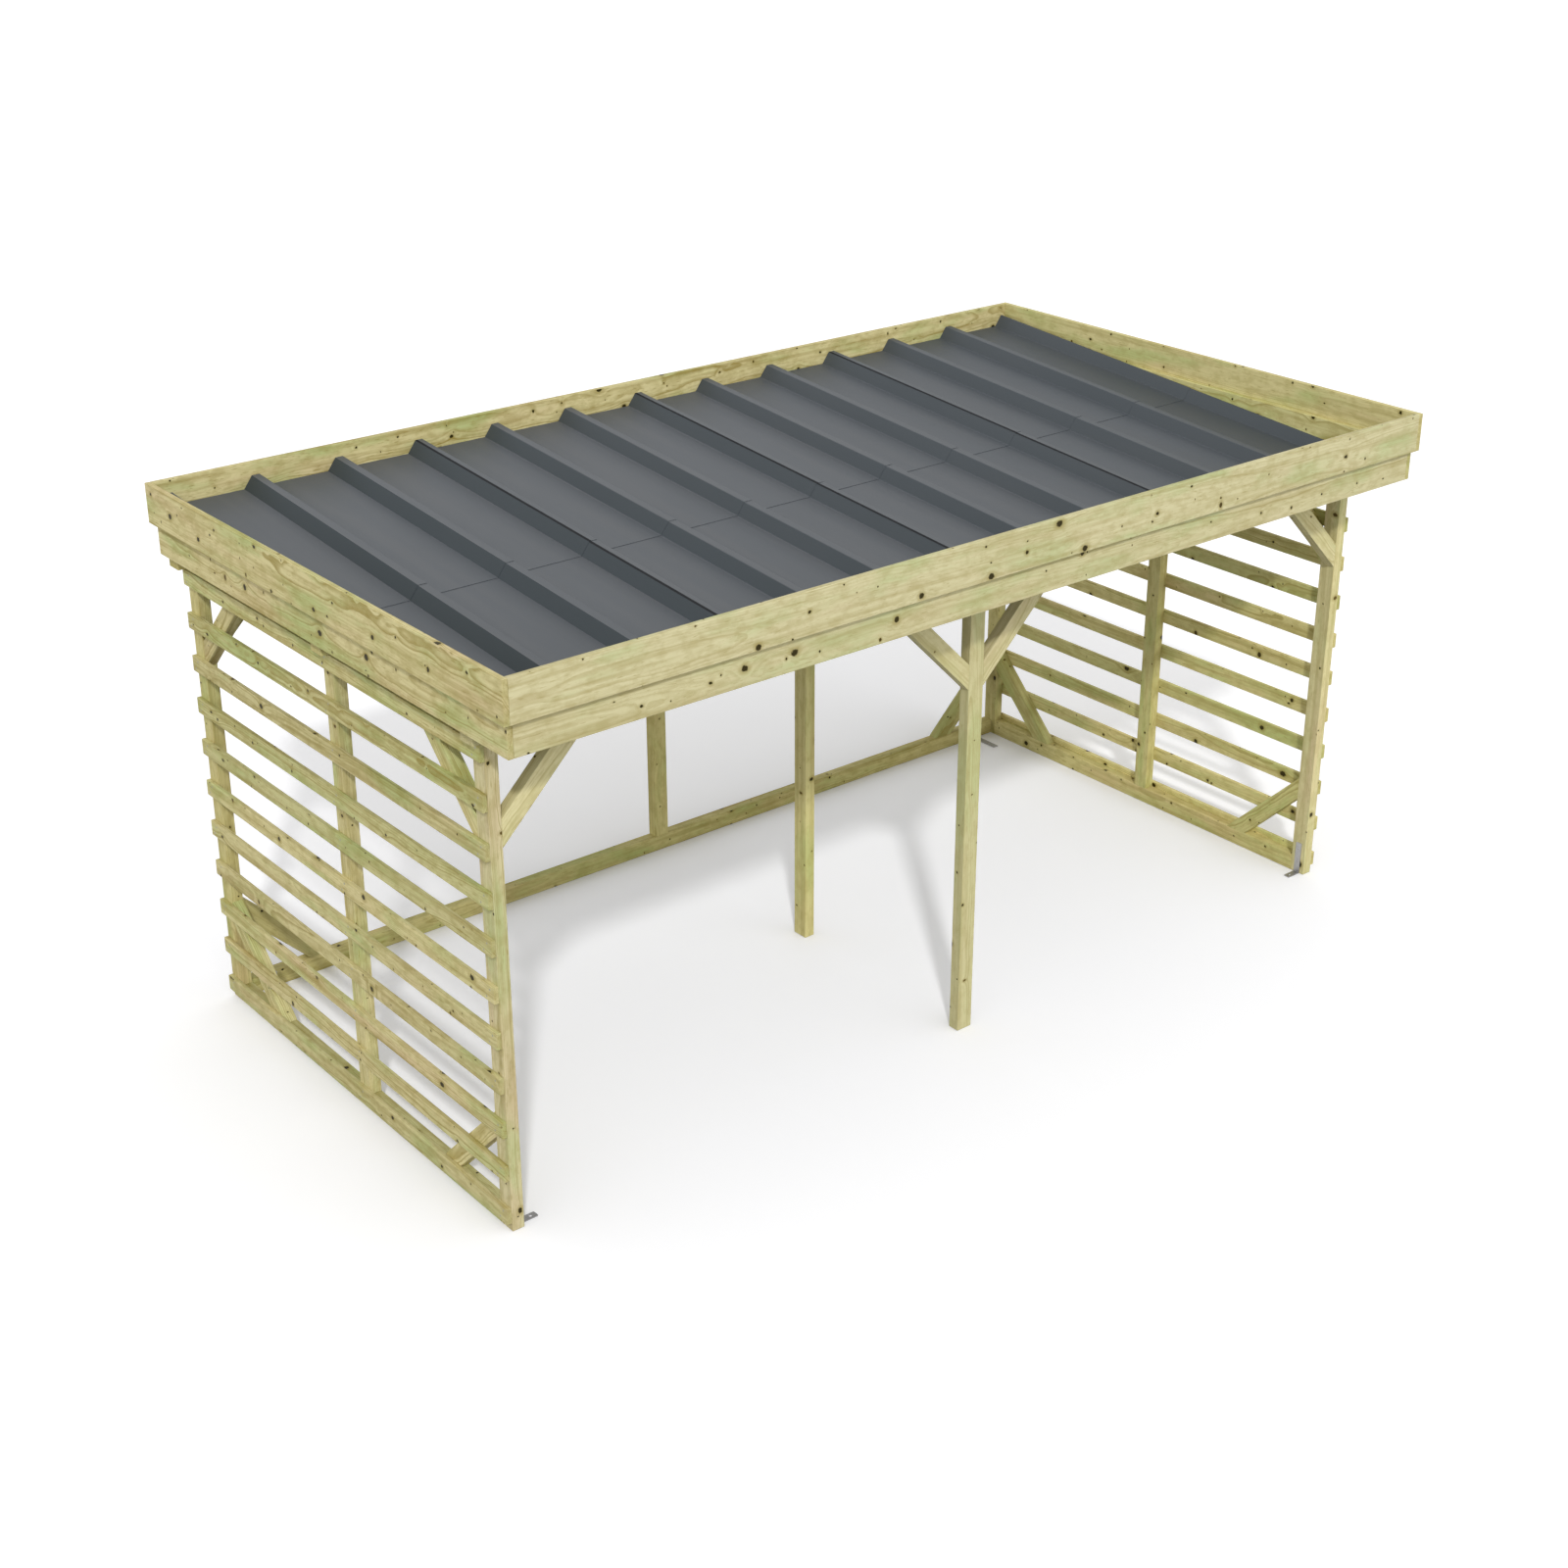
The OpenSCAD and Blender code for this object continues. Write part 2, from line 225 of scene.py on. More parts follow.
def wood_material():
    """Planed softwood, pressure treated. Attributes carry each board's own grain:
    grain = place along, across and through the board; heart = place from the tree's middle;
    limb = place of each face among the knots, and 1 on cut ends; tone = the board's own look;
    stock_and_painted_light = painted light and shade: how bright and how deep a yellow each piece is painted,
    as the light falls where it stands; and how strong its figure."""
    g = Graph("treated_pine")
    u, v, w = g.xyz(g.attribute("grain"))
    hu, hv, hw = g.xyz(g.attribute("heart"))
    lu, lv, cut = g.xyz(g.attribute("limb"))
    tone, tint, seed = g.xyz(g.attribute("tone"))
    painted_brightness, painted_shade_depth, figure = g.xyz(g.attribute("stock_and_painted_light"))

    place = g.join(u, v, w)
    wobble = g.linear(g.noise(place, 120.0, 3.0, 0.6), 0.010, -0.0050)
    core1, halo1, push1, age = knots(g, lu, lv, cut, figure, wobble, *LARGE_KNOTS)
    core2, halo2, push2, _ = knots(g, g.plus(lu, 31.7), g.plus(lv, 5.3), cut, figure, wobble, *PIN_KNOTS)
    knot = g.math("MAXIMUM", core1, core2)
    halo = g.math("MAXIMUM", halo1, g.times(halo2, 0.6))
    push = g.plus(push1, push2)

    # growth rings, drifting slowly along the trunk and pushed aside by the knots
    drift = g.noise(g.stretch(u, v, w, 1.1, 4.0, 4.0), 1.0, 2.0)
    ripple = g.noise(g.stretch(u, v, w, 9.0, 14.0, 14.0), 1.0, 2.0)
    r = g.vec("LENGTH", g.join(0.0, hv, hw))
    r = g.plus(g.linear(hu, 0.010, r), push)
    r = g.plus(g.linear(drift, 0.060, r), g.times(ripple, 0.006))
    count = g.math("DIVIDE", r, RING_WIDTH)
    ring = g.math("FRACT", count)
    late = g.times(g.smooth(ring, 0.30, 0.86), g.smooth(ring, 0.90, 1.0, 1.0, 0.0))
    white = g.node("ShaderNodeTexWhiteNoise", noise_dimensions="2D")
    g.put(g.join(g.math("FLOOR", count), seed, 0.0), white.inputs["Vector"])
    hard_year = g.smooth(white.outputs["Value"], 0.60, 0.97)
    line = g.times(late, g.linear(hard_year, 0.55, 0.13))

    # fibres and soft patches
    fibre = g.noise(g.stretch(u, v, w, 9.0, 340.0, 340.0), 1.0, 3.0, 0.6)
    streak = g.noise(g.stretch(u, v, w, 1.4, 46.0, 46.0), 1.0, 3.0, 0.55)
    patch = g.noise(g.stretch(u, v, w, 2.4, 9.0, 9.0), 1.0, 3.0, 0.55)
    mottle = g.noise(g.stretch(u, v, w, 17.0, 30.0, 30.0), 1.0, 3.0, 0.6)
    fleck = g.noise(g.stretch(u, v, w, 26.0, 210.0, 210.0), 1.0, 2.0, 0.5)
    blush = g.noise(g.stretch(u, v, w, 1.1, 6.0, 6.0), 1.7, 2.0)

    greenish = g.plus(g.smooth(patch, 0.45, 0.72), g.smooth(tint, 0.30, 0.0, 0.0, 0.45))
    base = g.mix(g.math("MINIMUM", greenish, 1.0), WOOD_PALE, WOOD_GREEN)
    pinkish = g.times(g.smooth(blush, 0.50, 0.72), g.smooth(tint, 0.1, 1.0, 0.25, 0.85))
    base = g.mix(pinkish, base, WOOD_PINK)
    base = g.mix(line, base, WOOD_DEEP)
    base = g.mix(g.times(g.smooth(streak, 0.42, 0.74), 0.46), base, WOOD_DEEP)
    base = g.mix(g.times(g.smooth(mottle, 0.42, 0.66), 0.28), base, WOOD_DEEP)
    base = g.mix(g.times(g.smooth(fleck, 0.60, 0.74), 0.50), base, WOOD_DEEP)
    base = g.mix(g.times(g.smooth(fibre, 0.52, 0.8), 0.20), base, WOOD_DEEP)
    # figure spreads the colours away from their mean
    base = g.vec("MULTIPLY", g.vec("SUBTRACT", base, WOOD_MEAN), g.join(figure, figure, figure))
    base = g.vec("MAXIMUM", g.vec("ADD", base, WOOD_MEAN), WOOD_DARKEST)
    base = g.mix(g.times(halo, 0.45), base, KNOT_HALO)
    heartwood = g.mix(g.smooth(age, 0.60, 0.98), KNOT_DEAD, KNOT_LIVE)
    base = g.mix(knot, base, heartwood)
    # cut ends drink more and weather darker
    base = g.mix(g.times(cut, g.smooth(fibre, 0.3, 0.7, 0.22, 0.42)), base, WOOD_END)
    # painted light and shade: each piece is painted brighter or darker, and a deeper yellow where it stands
    # in shade; and no two boards are equally bright
    base = g.vec("MULTIPLY", base, g.join(1.0, g.linear(painted_shade_depth, -0.02, 1.0), g.linear(painted_shade_depth, -0.33, 1.0)))
    base = g.vec("SCALE", base, g.times(painted_brightness, g.linear(tone, 0.14, 0.93)))
    g.put(base, g.shader.inputs["Base Color"])

    rough = g.linear(late, -0.08, 0.62)
    rough = g.linear(fibre, 0.10, rough)
    g.put(g.linear(knot, -0.18, rough), g.shader.inputs["Roughness"])
    height = g.plus(g.times(late, 0.5), g.times(fibre, 0.6))
    height = g.plus(height, g.times(knot, -0.8))
    g.put(g.bump(height, 0.35, 0.0006), g.shader.inputs["Normal"])
    g.shader.inputs["Specular IOR Level"].default_value = 0.12
    return g.mat


# cell along and across the board, share of cells with a knot, least radius, and how much larger it may be
LARGE_KNOTS = ((0.30, 0.120), 0.68, 0.0055, 0.0072)
PIN_KNOTS = ((0.20, 0.070), 0.60, 0.0028, 0.0028)
RING_WIDTH = 0.0062
WOOD_PALE = (0.670, 0.610, 0.370)
WOOD_GREEN = (0.530, 0.560, 0.292)
WOOD_PINK = (0.640, 0.525, 0.342)
WOOD_DEEP = (0.360, 0.295, 0.105)
WOOD_END = (0.320, 0.280, 0.130)
WOOD_MEAN = (0.580, 0.540, 0.310)
WOOD_DARKEST = (0.12, 0.09, 0.03)
KNOT_HALO = (0.30, 0.225, 0.045)
KNOT_DEAD = (0.030, 0.022, 0.001)
KNOT_LIVE = (0.105, 0.066, 0.008)
# painted light and shade for each piece, by the first two words of a node's name, or else the first:
# painted brightness, how deep a yellow is painted for shade (0 pale, 1 deep), how strong the figure
STOCK_AND_PAINTED_LIGHT = {
    "front": (1.03, 0.20, 0.8),
    "front_upper": (0.97, 0.0, 1.1),
    "front_lower": (0.99, 0.05, 1.0),
    "front_left": (1.0, 0.15, 1.2),
    "front_right": (1.13, 0.35, 0.9),
    "left": (0.95, 0.50, 1.4),
    "left_upper": (0.93, 0.45, 1.35),
    "left_lower": (0.97, 0.45, 1.5),
    "left_middle": (0.98, 0.45, 1.3),
    "right": (1.06, 0.85, 1.15),
    "right_upper": (1.0, 0.60, 1.1),
    "right_lower": (1.0, 0.60, 1.2),
    "back": (0.95, 0.95, 1.3),
    "back_upper": (0.84, 0.50, 1.5),
    "back_lower": (0.88, 0.50, 1.4),
    "back_left": (0.88, 0.78, 1.2),
    "back_right": (0.86, 0.90, 1.2),
    "back_middle": (1.02, 0.95, 1.1),
    "back_braces": (0.77, 0.90, 1.1),
    "inner": (1.03, 0.75, 1.0),
    "middle": (1.0, 0.70, 1.0),
}
ARRIS = 0.002  # how far the timbers' edges are eased


def add_grain(bm, rng, stock_and_painted_light):
    """Each solid gets grain along its longest edge and its own place in the tree."""
    layers = [bm.verts.layers.float_vector.new(n) for n in ("grain", "heart", "tone", "stock_and_painted_light")]
    knots_at = bm.loops.layers.float_vector.new("limb")
    for group in islands(bm):
        edges = {e for v in group for e in v.link_edges}
        faces = {f for v in group for f in v.link_faces}
        longest = max(edges, key=lambda e: (round(e.calc_length(), 5), -e.index))
        along = (longest.verts[1].co - longest.verts[0].co).normalized()
        if max(along, key=abs) < 0:
            along = -along
        flat = [f for f in faces if abs(f.normal.dot(along)) < 0.05]
        wide = max(flat, key=lambda f: (round(f.calc_area(), 7), -f.index))
        through = wide.normal.normalized()
        if max(through, key=abs) < 0:
            through = -through
        across = through.cross(along)
        axes = (along, across, through)
        spans = [(min(v.co.dot(a) for v in group), max(v.co.dot(a) for v in group)) for a in axes]
        middle = [(lo + hi) / 2 for lo, hi in spans]

        def local(vert):
            return [vert.co.dot(a) - m for a, m in zip(axes, middle)]

        # the tree's middle runs 25 to 90 mm to one side of the board's
        start = Vector((rng.uniform(0, 60), rng.uniform(0, 20), rng.uniform(0, 20)))
        side = rng.choice((-1, 1))
        core = Vector((rng.uniform(0, 3), rng.uniform(-0.05, 0.05), side * rng.uniform(0.025, 0.09)))
        limb = Vector((rng.uniform(0, 60), rng.uniform(0, 20)))
        look = Vector((rng.random(), rng.random(), rng.uniform(0, 50)))
        for v in group:
            place = Vector(local(v))
            v[layers[0]] = place + start
            v[layers[1]] = place + core
            v[layers[2]] = look
            v[layers[3]] = stock_and_painted_light
        # knots go through a board from one wide face to the other, and its narrow faces have others
        for f in faces:
            facing = [abs(f.normal.dot(a)) for a in axes]
            for loop in f.loops:
                x, y, z = local(loop.vert)
                if facing[0] > 0.6:
                    loop[knots_at] = (y + limb.x, z + limb.y, 1.0)
                elif facing[2] >= facing[1]:
                    loop[knots_at] = (x + limb.x, y + limb.y, 0.0)
                else:
                    loop[knots_at] = (x + limb.x + 7.13, z + limb.y + 3.37, 0.0)


def timber(name, material):
    """The visual timber of a CAD node: the same solids with eased edges and their own grain."""
    bm = node_mesh(name)
    bmesh.ops.bevel(bm, geom=bm.edges[:], offset=ARRIS, offset_type="OFFSET", segments=2,
                    profile=0.5, affect="EDGES", clamp_overlap=True)
    bm.verts.index_update()
    bm.edges.index_update()
    bm.faces.index_update()
    bm.normal_update()
    parts = name.split("_")
    # the piece's painted light and shade, and its figure
    stock_and_painted_light = STOCK_AND_PAINTED_LIGHT.get("_".join(parts[:2]), STOCK_AND_PAINTED_LIGHT[parts[0]])
    add_grain(bm, random.Random(name), stock_and_painted_light)
    obj = new_object("wood." + name, bm, material, "timber")
    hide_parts(name)


# ---------------------------------------------------------------- steel


def sheet_material():
    """Dark grey coated steel, half matt."""
    g = Graph("coated_sheet")
    obj = g.node("ShaderNodeTexCoord").outputs["Object"]
    x, y, z = g.xyz(obj)
    cloud = g.noise(obj, 1.1, 3.0)
    wash = g.noise(g.stretch(x, y, z, 16.0, 0.9, 1.0), 1.0, 3.0)
    speck = g.noise(obj, 1100.0, 1.0)
    # painted light and shade: what lies flat is painted lighter, less so towards the right; the flanks are
    # painted darker, less so there
    up = g.xyz(g.node("ShaderNodeNewGeometry").outputs["Normal"])[2]
    flank_light_share = g.smooth(x, -2.3, 1.4, 0.0, 0.46)
    flat_light_share = g.smooth(x, -0.1, 2.1, 0.98, 0.52)
    painted_top_light = g.smooth(up, 0.70, 0.97, flank_light_share, flat_light_share)
    painted_shade_colour = g.mix(g.smooth(cloud, 0.3, 0.7), (0.038, 0.050, 0.058), (0.044, 0.056, 0.064))
    painted_lit_colour = g.mix(g.smooth(wash, 0.35, 0.75), (0.090, 0.100, 0.111), (0.103, 0.111, 0.120))
    base = g.mix(painted_top_light, painted_shade_colour, painted_lit_colour)
    base = g.mix(g.times(g.smooth(speck, 0.5, 0.8), 0.10), base, (0.12, 0.13, 0.14))
    g.put(base, g.shader.inputs["Base Color"])
    rough = g.linear(cloud, 0.12, 0.36)
    g.put(g.linear(wash, 0.08, rough), g.shader.inputs["Roughness"])
    g.put(g.bump(speck, 0.06, 0.0002), g.shader.inputs["Normal"])
    g.shader.inputs["Specular IOR Level"].default_value = 0.24
    return g.mat


def lap_shadow_material():
    """Painted shadow: a dark strip that stands for the shade in the gap under a covering sheet's side edge;
    dull, with a fine crumb.
    """
    g = Graph("lap_shadow_strip")
    obj = g.node("ShaderNodeTexCoord").outputs["Object"]
    crumb = g.noise(obj, 700.0, 2.0)
    g.put(g.mix(crumb, (0.018, 0.019, 0.021), (0.036, 0.038, 0.040)), g.shader.inputs["Base Color"])
    g.shader.inputs["Specular IOR Level"].default_value = 0.05
    g.put(g.linear(crumb, 0.2, 0.75), g.shader.inputs["Roughness"])
    g.put(g.bump(crumb, 0.2, 0.0003), g.shader.inputs["Normal"])
    return g.mat


def zinc_material(name, low, high, rough):
    """Hot-dip zinc with its crystal pattern."""
    g = Graph(name)
    g.shader.inputs["Metallic"].default_value = 1.0
    obj = g.node("ShaderNodeTexCoord").outputs["Object"]
    vor = g.node("ShaderNodeTexVoronoi", feature="F1")
    g.put(obj, vor.inputs["Vector"])
    vor.inputs["Scale"].default_value = 140.0
    spangle = g.xyz(vor.outputs["Color"])[0]
    dull = g.noise(obj, 25.0, 3.0)
    share = g.linear(spangle, 0.6, g.times(dull, 0.4))
    g.put(g.mix(share, low, high), g.shader.inputs["Base Color"])
    g.put(g.linear(spangle, 0.18, rough), g.shader.inputs["Roughness"])
    g.put(g.bump(dull, 0.1, 0.0003), g.shader.inputs["Normal"])
    return g.mat


def bent_sheet(name, material):
    """The visual roof sheet of a CAD node: the same sheet with rolled bends."""
    bm = node_mesh(name)
    folds = [e for e in bm.edges if len(e.link_faces) == 2
             and math.radians(30) < e.calc_face_angle() < math.radians(75)]
    bmesh.ops.bevel(bm, geom=folds, offset=SHEET_BEND, offset_type="OFFSET", segments=4,
                    profile=0.5, affect="EDGES", clamp_overlap=True)
    obj = new_object("steel." + name, bm, material, "sheet_steel")
    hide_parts(name)


def add_lap_shadow(name, material):
    """Painted shadow: a dark strip along the side edge of a covering sheet, on the rib top below it, where
    the gap under that edge lies in shade.
    """
    width, thick = LAP_SHADOW_WIDTH, LAP_SHADOW_THICK
    mesh = nodes[name].data
    left = min(v.co.x for v in mesh.vertices)
    edge = [v.co for v in mesh.vertices if v.co.x < left + 1e-4]
    lo = min(c.y for c in edge)
    hi = max(c.y for c in edge)
    ends = [min((c for c in edge if abs(c.y - y) < 1e-3), key=lambda c: c.z) for y in (lo, hi)]
    # flat on the rib top, its far edge bent down over the rib's corner
    section = ((0, 0), (0, thick), (-0.1 * width, 1.2 * thick), (-0.75 * width, 1.1 * thick),
               (-width, -1.4 * thick), (-0.75 * width, -0.2 * thick))
    bm = bmesh.new()
    rows = []
    for i in range(LAP_SHADOW_STEPS + 1):
        at = ends[0].lerp(ends[1], i / LAP_SHADOW_STEPS)
        rows.append([bm.verts.new(at + Vector((dx, 0, dz))) for dx, dz in section])
    for a, b in zip(rows, rows[1:]):
        for k in range(len(a)):
            m = (k + 1) % len(a)
            bm.faces.new((a[k], a[m], b[m], b[k]))
    bm.faces.new(rows[0])
    bm.faces.new(rows[-1])
    bmesh.ops.recalc_face_normals(bm, faces=bm.faces[:])
    new_object("seal." + name, bm, material, "sheet_steel")


def ring_steps(half_len, half_w, count):
    """Points round a rectangle, count to a side, from its corner (-half_len, -half_w)."""
    out = []
    corners = ((-1, -1), (1, -1), (1, 1), (-1, 1), (-1, -1))
    for (a, b), (c, d) in zip(corners, corners[1:]):
        for i in range(count):
            f = i / count
            out.append(((a + (c - a) * f) * half_len, (b + (d - b) * f) * half_w))
    return out


def strip_face(length, width, holes, stops):
    """Flat face of a strap with round holes, as points and faces; holes = (place, radius, half length)."""
    points, faces, known = [], [], {}

    def point(s, t):
        key = (round(s, 6), round(t, 6))
        if key not in known:
            known[key] = len(points)
            points.append((s, t))
        return known[key]

    across = [width * (i / STRAP_COLS - 0.5) for i in range(STRAP_COLS + 1)]
    edges = [at + side * half for at, _, half in holes for side in (-1, 1)]
    marks = sorted({round(m, 6) for m in stops + edges})
    for a, b in zip(marks, marks[1:]):
        hole = next((h for h in holes if abs((a + b) / 2 - h[0]) < 1e-4), None)
        if hole:
            at, radius, half = hole
            ring = ring_steps(half, width / 2, STRAP_COLS)
            outer = [point(at + s, t) for s, t in ring]
            inner = []
            for s, t in ring:
                d = math.hypot(s, t)
                inner.append(point(at + s / d * radius, t / d * radius))
            for k in range(len(ring)):
                m = (k + 1) % len(ring)
                faces.append((outer[k], outer[m], inner[m], inner[k]))
        else:
            # rows line up with the sides of the hole rings beside them
            for t0, t1 in zip(across, across[1:]):
                faces.append((point(a, t0), point(b, t0), point(b, t1), point(a, t1)))
    # the strap's four corners are round
    corner = STRAP_CORNER
    for i, (s, t) in enumerate(points):
        for end in (0.0, length):
            d, e = abs(s - end), abs(t) - (width / 2 - corner)
            if d < corner and e > 0:
                far = math.hypot(corner - d, e)
                if far > corner:
                    k = corner / far
                    s = end + (1 if end == 0 else -1) * (corner - (corner - d) * k)
                    t = math.copysign(width / 2 - corner + e * k, t)
        points[i] = (s, t)
    return points, faces


def strap_bracket(name, corner, foot_dir, foot, upright, width, thick, material):
    """A bent flat-steel bracket: corner = the outer bend on the ground, at the middle of its width."""
    out, up = Vector(foot_dir), Vector((0, 0, 1))
    side = out.cross(up)
    bend = BEND_RADIUS
    arc = bend * math.pi / 2
    length = foot + upright - 2 * bend + arc

    def along_upright(d):
        return foot - bend + arc + d - bend

    # lengths are counted from the foot's end, round the bend and up
    holes = [(foot - foot * ANCHOR_SHARE, ANCHOR_HOLE, width / 2)]
    holes += [(along_upright(upright * share), SCREW_HOLE, SCREW_HOLE_FIELD) for share in SCREW_SHARES]
    stops = [foot - bend + arc * i / BEND_STEPS for i in range(BEND_STEPS + 1)]
    for d in STRAP_END_STEPS:
        stops += [d, length - d]
    points, faces = strip_face(length, width, holes, stops)

    def place(s, t, lift):
        if s <= foot - bend:
            return corner + out * (foot - s) + up * lift + side * t
        if s >= foot - bend + arc:
            return corner + out * lift + up * (s - (foot - bend + arc) + bend) + side * t
        turn = (s - (foot - bend)) / bend
        r = bend - lift
        return corner + out * (bend - r * math.sin(turn)) + up * (bend - r * math.cos(turn)) + side * t

    bm = bmesh.new()
    lower = [bm.verts.new(place(s, t, 0.0)) for s, t in points]
    upper = [bm.verts.new(place(s, t, thick)) for s, t in points]
    sides = {}
    for f in faces:
        bm.faces.new([lower[i] for i in f])
        bm.faces.new([upper[i] for i in reversed(f)])
        for a, b in zip(f, f[1:] + f[:1]):
            sides[(a, b)] = sides.get((a, b), 0) + 1
    for (a, b) in sides:
        if (b, a) not in sides:
            bm.faces.new((lower[b], lower[a], upper[a], upper[b]))
    bmesh.ops.recalc_face_normals(bm, faces=bm.faces[:])
    rims = [e for e in bm.edges if e.calc_face_angle(0.0) > math.radians(60)]
    bmesh.ops.bevel(bm, geom=rims, offset=STRAP_ARRIS, segments=1, profile=0.5,
                    affect="EDGES", clamp_overlap=True)
    piece = new_object(name, bm, material, "bracket_steel")
    heads = [(corner + out * thick + up * (upright * share), out) for share in SCREW_SHARES]
    return piece, heads


def add_screw(bm, at, axis, radius, height, turn):
    """A round screw head with a star recess, standing out along axis from the surface at a point."""
    axis = Vector(axis).normalized()
    a = axis.orthogonal().normalized()
    b = axis.cross(a)
    rows = []
    for r, h, star in HEAD_PROFILE:
        row = []
        for i in range(HEAD_SIDES):
            w = 2 * math.pi * i / HEAD_SIDES
            reach = radius * r * (1 + STAR_DEPTH * star * math.cos(STAR_POINTS * w))
            way = a * math.cos(w + turn) + b * math.sin(w + turn)
            row.append(bm.verts.new(at + axis * (height * h) + way * reach))
        rows.append(row)
    for p, q in zip(rows, rows[1:]):
        for i in range(HEAD_SIDES):
            j = (i + 1) % HEAD_SIDES
            bm.faces.new((p[i], p[j], q[j], q[i]))
    bm.faces.new(rows[-1])
    bm.faces.new(rows[0][::-1])


def screws(name, places, radius, height, material, slot):
    """One piece that holds the screw heads at all places = (point, outward direction), turned at random."""
    rng = random.Random(name)
    bm = bmesh.new()
    for at, axis in places:
        add_screw(bm, Vector(at), axis, radius, height, rng.uniform(0, 1.05))
    return new_object(name, bm, material, slot)


SHEET_BEND = 0.003
# the painted shadow strips at the side laps: width, thickness, and steps along a sheet
LAP_SHADOW_WIDTH, LAP_SHADOW_THICK, LAP_SHADOW_STEPS = 0.0100, 0.0005, 24
STRAP_THICK = 0.003
STRAP_COLS = 12                               # faces across the strap
STRAP_CORNER = 0.005
STRAP_ARRIS = 0.0004
STRAP_END_STEPS = (0.0, 0.0006, 0.002, 0.0045)  # rows that make the ends' corners round
BEND_RADIUS, BEND_STEPS = 0.006, 6
ANCHOR_SHARE, ANCHOR_HOLE = 2 / 3, 0.0055     # place along the foot, and radius
SCREW_SHARES, SCREW_HOLE = (0.4, 0.8), 0.0025  # places along the upright leg, and radius
SCREW_HOLE_FIELD = 0.0105                     # half length of the ring of faces round a screw hole
# a screw head from its foot to the bottom of its recess: share of the radius, share of the height, star
HEAD_PROFILE = ((1.0, -0.1, 0), (1.0, 0.25, 0), (0.93, 0.62, 0), (0.72, 0.92, 0),
                (0.46, 1.0, 1), (0.42, 0.97, 1), (0.38, 0.15, 1))
HEAD_SIDES = 24
STAR_POINTS, STAR_DEPTH = 6, 0.13
BRACKET_HEAD = (0.0045, 0.0026)               # radius and height of a head
SLAT_HEAD = (0.0038, 0.0004)                  # sunk almost flush
SLAT_SCREW = (0.010, 0.015)                   # from a crossing's middle to its two screws, along Y and Z


# ---------------------------------------------------------------- pieces


def ground_brackets():
    """The front brackets stand on the posts' inner faces, the back ones on the back rail."""
    brackets, heads = [], []
    for i, (lo, hi) in enumerate(solid_boxes("ground_brackets")):
        size = hi - lo
        if size.z > size.y:
            inward = 1 if lo.x < 0 else -1
            corner = Vector((lo.x if inward > 0 else hi.x, (lo.y + hi.y) / 2, lo.z))
            made = ((inward, 0, 0), size.x, size.z, size.y)
        else:
            corner = Vector(((lo.x + hi.x) / 2, hi.y, lo.z))
            made = ((0, -1, 0), size.y, size.z, size.x)
        piece, places = strap_bracket("bracket_%d" % (i + 1), corner, *made, STRAP_THICK, zinc)
        brackets.append(piece)
        heads += places
    for piece in brackets:
        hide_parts("ground_brackets")
    screws("bracket_screws", heads, *BRACKET_HEAD, zinc, "bracket_steel")


def slat_screws(side, sign):
    """Two screws through each slat of an end wall into each upright behind it."""
    places = []
    dy, dz = SLAT_SCREW
    uprights = [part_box(n) for n in ("front_%s_post" % side, "%s_middle_stud" % side, "back_%s_post" % side)]
    for lo, hi in solid_boxes(side + "_slats"):
        face = lo.x if sign < 0 else hi.x
        for a, b in uprights:
            y, z = (a[1] + b[1]) / 2, (lo.z + hi.z) / 2
            places += [((face, y - dy, z + dz), (sign, 0, 0)), ((face, y + dy, z - dz), (sign, 0, 0))]
    screws("slat_screws_" + side, places, *SLAT_HEAD, screw_zinc, "bracket_steel")


wood = wood_material()
sheet = sheet_material()
lap_shadow = lap_shadow_material()
zinc = zinc_material("galvanised", (0.39, 0.385, 0.385), (0.54, 0.535, 0.535), 0.42)
screw_zinc = zinc_material("screw_zinc", (0.34, 0.33, 0.26), (0.46, 0.44, 0.34), 0.42)

for name in sorted(nodes):
    if "_sheet_" in name:
        bent_sheet(name, sheet)
        if not name.endswith("_1"):
            # painted shadow along the side lap of each covering sheet
            add_lap_shadow(name, lap_shadow)
    elif name != "ground_brackets":
        timber(name, wood)
ground_brackets()
slat_screws("left", -1)
slat_screws("right", 1)

# ---------------------------------------------------------------- stage

SKY = 1.40          # light from all round, at the horizon
ZENITH = 0.32       # and from straight above
KEY = 1.45          # strength of the light that draws the shadows
FILL = 0.42         # strength of the low soft light from the front
FLOOR = 0.34        # how much light the floor gives back
FLOOR_SEEN = 0.90   # the same, as the camera sees it
FLOOR_GLOW = 0.24   # and what lifts it to white there, as far as the object leaves it open
FLOOR_REACH = 2.2   # how far away a thing still shades that
FLOOR_SIZE = 90.0   # half the floor's side
FLOOR_DROP = 0.0005  # how far below the feet it lies


def seen(tree):
    """1 for what the camera, a mirror or a window shows, 0 for light that falls on things."""
    path = tree.nodes.new("ShaderNodeLightPath")
    total = path.outputs["Is Camera Ray"]
    for ray in ("Is Glossy Ray", "Is Transmission Ray"):
        n = tree.nodes.new("ShaderNodeMath")
        n.operation = "MAXIMUM"
        tree.links.new(total, n.inputs[0])
        tree.links.new(path.outputs[ray], n.inputs[1])
        total = n.outputs[0]
    return total


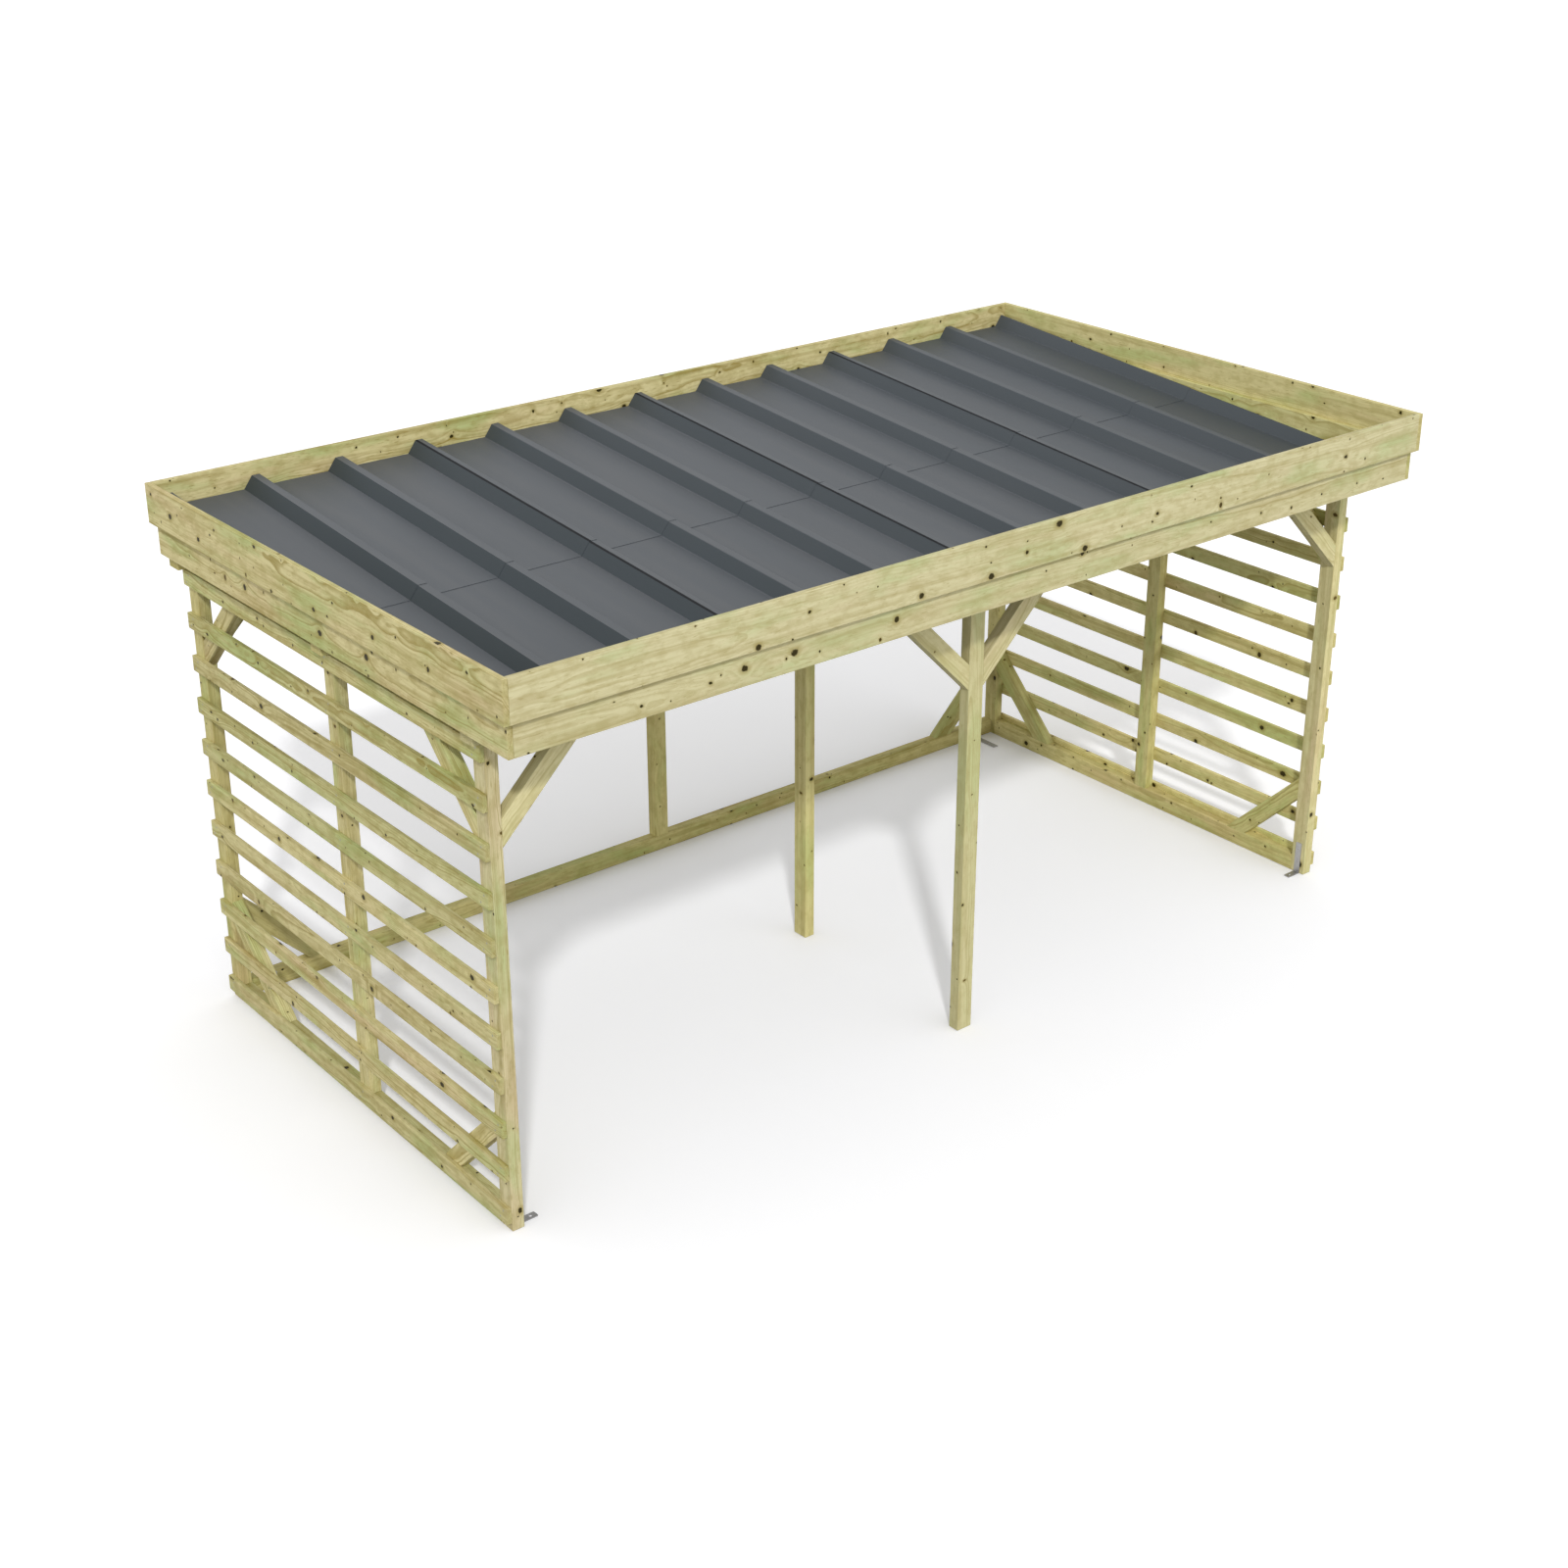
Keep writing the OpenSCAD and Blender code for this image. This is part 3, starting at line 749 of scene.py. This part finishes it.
def floor_material():
    """Pale and matt; for the camera it is paler still, so that it meets the white backdrop."""
    g = Graph("floor")
    tree = g.tree
    tree.nodes.remove(g.shader)
    lit = g.node("ShaderNodeBsdfDiffuse")
    lit.inputs["Color"].default_value = (FLOOR, FLOOR, FLOOR, 1)
    shown = g.node("ShaderNodeBsdfDiffuse")
    shown.inputs["Color"].default_value = (FLOOR_SEEN, FLOOR_SEEN, 1.02 * FLOOR_SEEN, 1)
    glow = g.node("ShaderNodeEmission")
    openness = g.node("ShaderNodeAmbientOcclusion", samples=8)
    openness.inputs["Distance"].default_value = FLOOR_REACH
    g.put(g.times(openness.outputs["AO"], FLOOR_GLOW), glow.inputs["Strength"])
    both = g.node("ShaderNodeAddShader")
    g.put(shown.outputs[0], both.inputs[0])
    g.put(glow.outputs[0], both.inputs[1])
    pick = g.node("ShaderNodeMixShader")
    g.put(seen(tree), pick.inputs[0])
    g.put(lit.outputs[0], pick.inputs[1])
    g.put(both.outputs[0], pick.inputs[2])
    g.put(pick.outputs[0], tree.nodes["Material Output"].inputs["Surface"])
    return g.mat


def add_floor():
    bm = bmesh.new()
    bmesh.ops.create_grid(bm, x_segments=1, y_segments=1, size=FLOOR_SIZE)
    floor = new_object("floor", bm, floor_material())
    floor.location.z = -FLOOR_DROP


def add_world():
    """A studio that is brighter all round than overhead, and plain white where it is seen."""
    world = bpy.data.worlds.new("studio")
    scene.world = world
    world.use_nodes = True
    tree = world.node_tree
    ambient = tree.nodes["Background"]
    ambient.inputs["Color"].default_value = (1, 1, 1, 1)
    height = tree.nodes.new("ShaderNodeSeparateXYZ")
    tree.links.new(tree.nodes.new("ShaderNodeTexCoord").outputs["Generated"], height.inputs[0])
    fade = tree.nodes.new("ShaderNodeMapRange")
    tree.links.new(height.outputs["Z"], fade.inputs["Value"])
    fade.inputs["To Min"].default_value = SKY
    fade.inputs["To Max"].default_value = ZENITH
    tree.links.new(fade.outputs[0], ambient.inputs["Strength"])
    backdrop = tree.nodes.new("ShaderNodeBackground")
    backdrop.inputs["Color"].default_value = (1, 1, 1, 1)
    backdrop.inputs["Strength"].default_value = 1.0
    pick = tree.nodes.new("ShaderNodeMixShader")
    tree.links.new(seen(tree), pick.inputs[0])
    tree.links.new(ambient.outputs[0], pick.inputs[1])
    tree.links.new(backdrop.outputs[0], pick.inputs[2])
    tree.links.new(pick.outputs[0], tree.nodes["World Output"].inputs["Surface"])


def sun(name, azimuth, elevation, strength, angle):
    """A sun that stands at azimuth (degrees from +X towards +Y) and elevation above the floor."""
    data = bpy.data.lights.new(name, "SUN")
    data.energy = strength
    data.angle = math.radians(angle)
    obj = bpy.data.objects.new(name, data)
    scene.collection.objects.link(obj)
    a, e = math.radians(azimuth), math.radians(elevation)
    towards = Vector((math.cos(a) * math.cos(e), math.sin(a) * math.cos(e), math.sin(e)))
    obj.rotation_euler = towards.to_track_quat("Z", "Y").to_euler()


def add_camera():
    """The photograph's view: from above the left front, with a normal lens."""
    data = bpy.data.cameras.new("camera")
    data.sensor_width = 36.0
    data.lens = 53.49
    data.shift_x = -0.0054
    data.shift_y = -0.0301
    data.clip_end = 300.0
    camera = bpy.data.objects.new("camera", data)
    camera.location = (-5.166, -6.220, 4.503)
    camera.rotation_euler = (math.radians(65.80), 0.0, math.radians(-39.19))
    scene.collection.objects.link(camera)
    scene.camera = camera


add_floor()
add_world()
sun("key", azimuth=-125, elevation=40, strength=KEY, angle=3.5)
sun("fill", azimuth=-75, elevation=20, strength=FILL, angle=60)
add_camera()
scene.view_settings.view_transform = "Standard"
